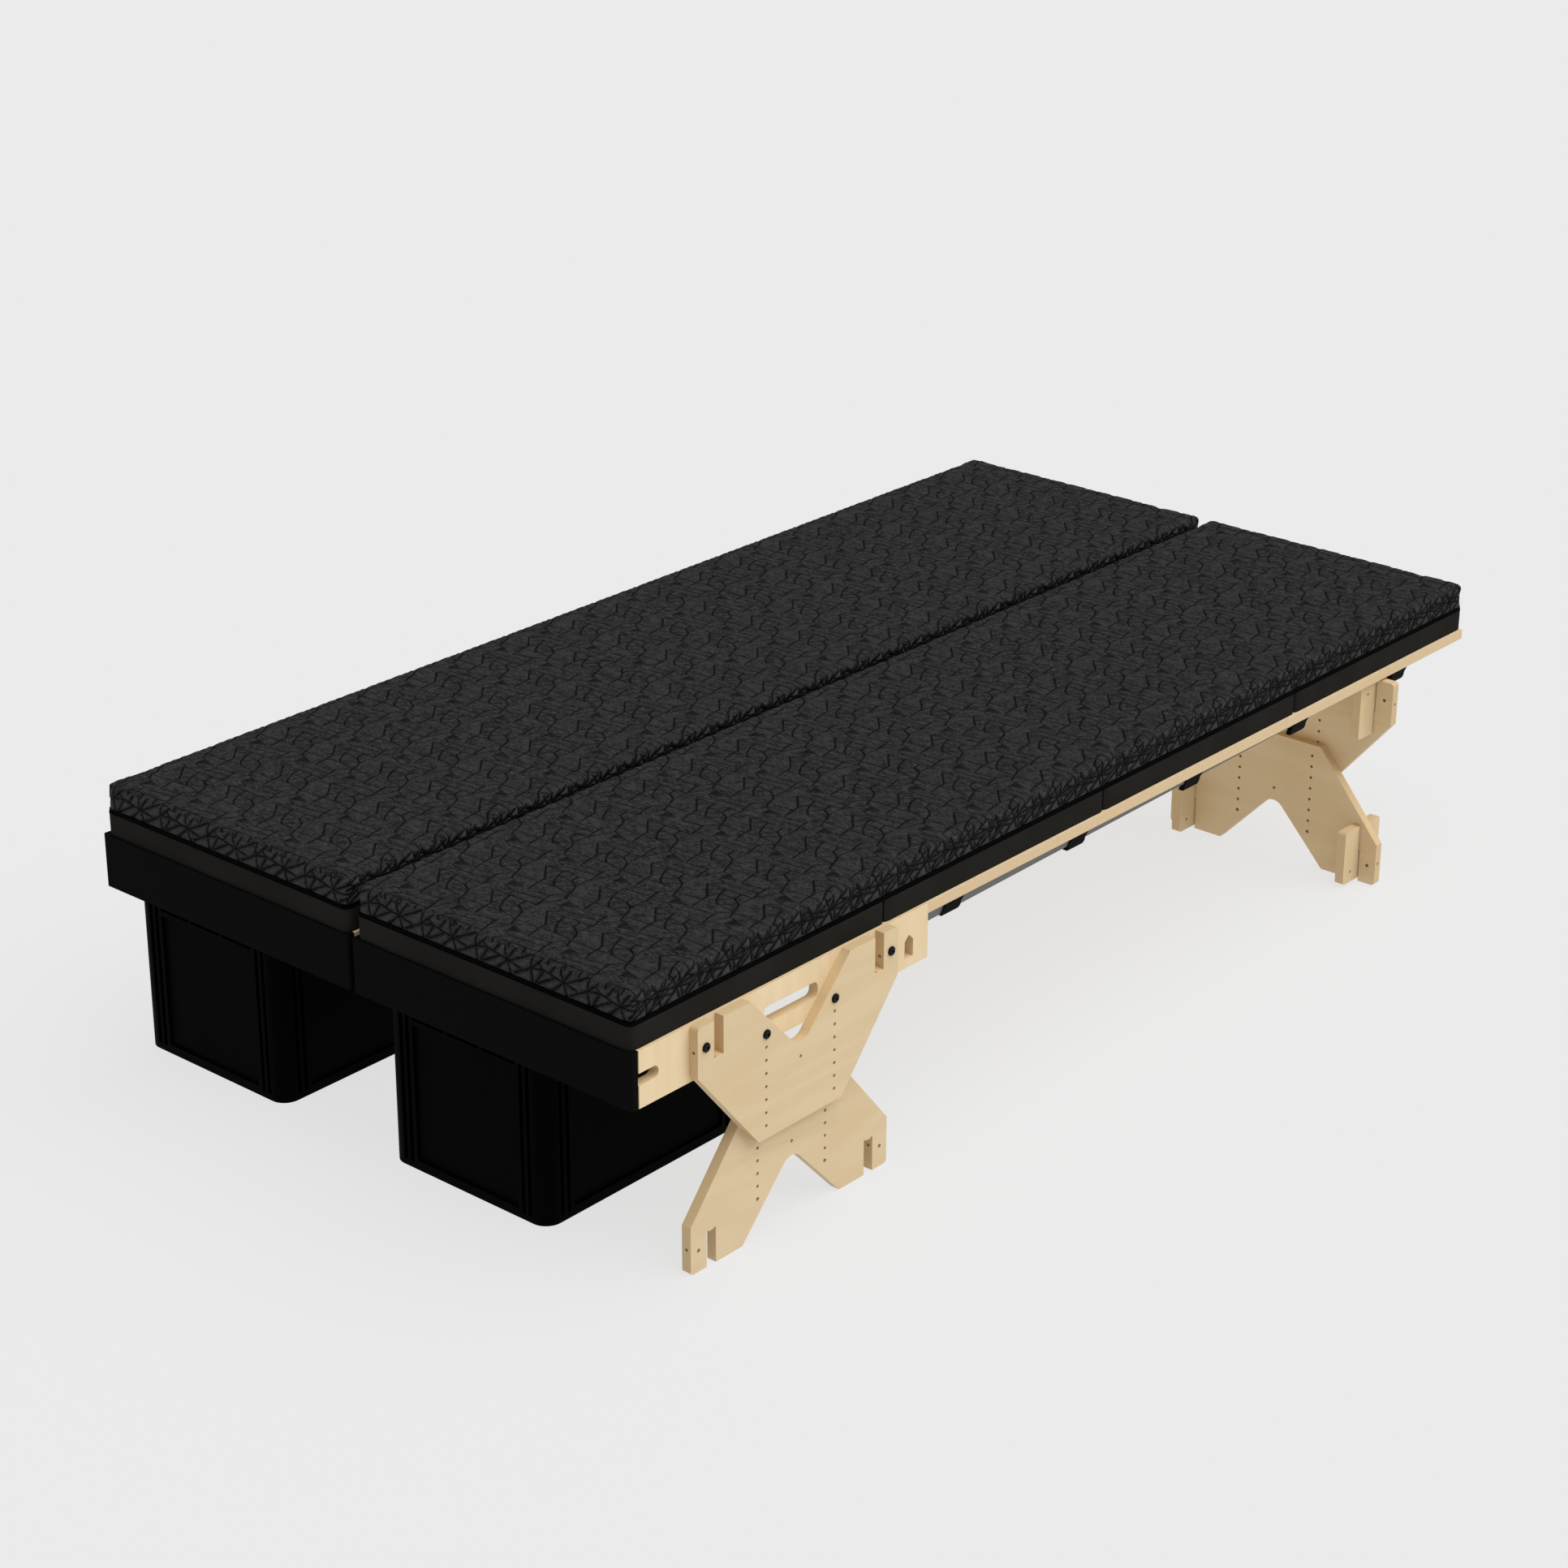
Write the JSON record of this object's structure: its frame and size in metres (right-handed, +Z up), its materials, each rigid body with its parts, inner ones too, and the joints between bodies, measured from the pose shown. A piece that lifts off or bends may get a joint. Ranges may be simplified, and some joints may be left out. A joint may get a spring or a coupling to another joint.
{
  "type": "modular platform bed",
  "caption": "Two half-width plank platforms with quilted cushions, carried by storage boxes and slotted plywood X legs of adjustable height.",
  "frame": {"origin": "on the floor, under the centre of the model's box", "axes": "+Y along the length to the far legs, +X towards the side with the side leg, +Z up"},
  "size_m": [1.05, 1.9616, 0.436],
  "materials": {
    "quilted_cover": "matte crinkled quilting",
    "zip_tape": "woven zip tape",
    "cushion_cover": "fine matte weave",
    "black_laminate": "smooth matte laminate",
    "birch_plywood": "satin oiled birch",
    "rail_metal": "mill finish",
    "black_plastic": "fine moulded texture",
    "black_steel": "black oxide",
    "felt": "felt"
  },
  "bodies": {
    "platform": {"topper_right": "quilted_cover", "topper_left": "quilted_cover", "zip_band_right": "zip_tape", "zip_band_left": "zip_tape", "base_cushion_right_1": "cushion_cover", "base_cushion_right_2": "cushion_cover", "base_cushion_right_3": "cushion_cover", "base_cushion_right_4": "cushion_cover", "base_cushion_left_1": "cushion_cover", "base_cushion_left_2": "cushion_cover", "base_cushion_left_3": "cushion_cover", "base_cushion_left_4": "cushion_cover", "front_panel_right": "black_laminate", "front_panel_left": "black_laminate", "side_panel_right_outer": "birch_plywood", "side_panel_right_inner": "birch_plywood", "side_panel_left_inner": "birch_plywood", "side_panel_left_outer": "birch_plywood", "frame_top_right": "birch_plywood", "frame_top_left": "birch_plywood", "back_panel_right": "birch_plywood", "back_panel_left": "birch_plywood", "plank_right_1": "birch_plywood", "plank_right_2": "birch_plywood", "plank_right_3": "birch_plywood", "plank_right_4": "birch_plywood", "plank_right_5": "birch_plywood", "plank_left_1": "birch_plywood", "plank_left_2": "birch_plywood", "plank_left_3": "birch_plywood", "plank_left_4": "birch_plywood", "plank_left_5": "birch_plywood", "rail_right_outer": "rail_metal", "rail_right_inner": "rail_metal", "rail_left_inner": "rail_metal", "rail_left_outer": "rail_metal", "plank_clips_right": "black_plastic", "plank_clips_left": "black_plastic", "side_leg_upper": "birch_plywood", "side_leg_bolts": "black_steel", "far_leg_right_upper": "birch_plywood", "far_leg_left_upper": "birch_plywood", "top_brace_right_outer": "birch_plywood", "top_brace_right_inner": "birch_plywood", "top_brace_left_inner": "birch_plywood", "top_brace_left_outer": "birch_plywood", "leg_packers": "felt"},
    "side_foot": {"side_leg_lower": "birch_plywood"},
    "far_foot_right": {"far_leg_right_lower": "birch_plywood", "foot_brace_right_outer": "birch_plywood", "foot_brace_right_inner": "birch_plywood"},
    "far_foot_left": {"far_leg_left_lower": "birch_plywood", "foot_brace_left_outer": "birch_plywood", "foot_brace_left_inner": "birch_plywood"},
    "box_right": {"storage_box_right": "black_plastic"},
    "box_left": {"storage_box_left": "black_plastic"}
  },
  "joints": [
    {"name": "side_leg_height", "type": "slide", "parent": "platform", "child": "side_foot", "axis": [0, 0, -1], "range_m": [-0.057, 0.019]},
    {"name": "far_leg_right_height", "type": "slide", "parent": "platform", "child": "far_foot_right", "axis": [0, 0, -1], "range_m": [-0.114, 0.019]},
    {"name": "far_leg_left_height", "type": "slide", "parent": "platform", "child": "far_foot_left", "axis": [0, 0, -1], "range_m": [-0.114, 0.019]},
    {"name": "box_right_pull", "type": "slide", "parent": "platform", "child": "box_right", "axis": [0, -1, 0], "range_m": [0, 0.46]},
    {"name": "box_left_pull", "type": "slide", "parent": "platform", "child": "box_left", "axis": [0, -1, 0], "range_m": [0, 0.46]}
  ]
}
